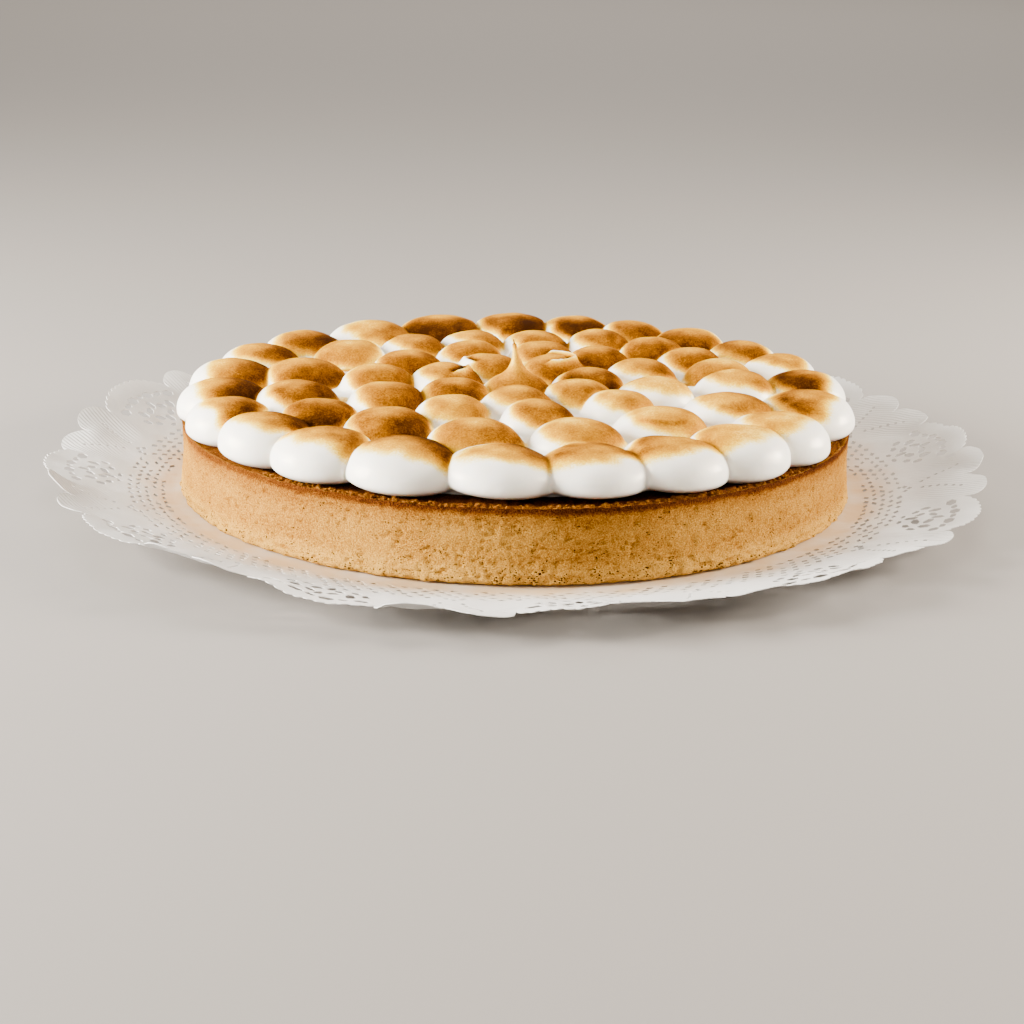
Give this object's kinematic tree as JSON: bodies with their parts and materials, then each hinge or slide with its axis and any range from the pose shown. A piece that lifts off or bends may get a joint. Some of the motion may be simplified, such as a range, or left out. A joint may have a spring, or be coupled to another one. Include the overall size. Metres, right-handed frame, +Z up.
{
  "type": "lemon meringue tart",
  "caption": "Round lemon meringue tart: shortcrust shell with filling, piped and toasted meringue with a pulled peak, on a lace paper.",
  "frame": {"origin": "middle of the flat underside of the lace paper, on the tart's axis, where the part rests", "axes": "+Z up along the tart's axis, -Y towards the side shown in front, +X to the right of that side"},
  "size_m": [0.3372, 0.3372, 0.0542],
  "materials": {
    "shortcrust": "baked shortcrust, matte and crumbly, browner at the rim",
    "meringue": "satin white meringue, toasted golden to dark brown on its crowns",
    "lace_paper": "thin white embossed paper with punched lace"
  },
  "bodies": {
    "root": {"crust": "shortcrust", "meringue": "meringue", "lace_paper": "lace_paper"}
  },
  "joints": []
}
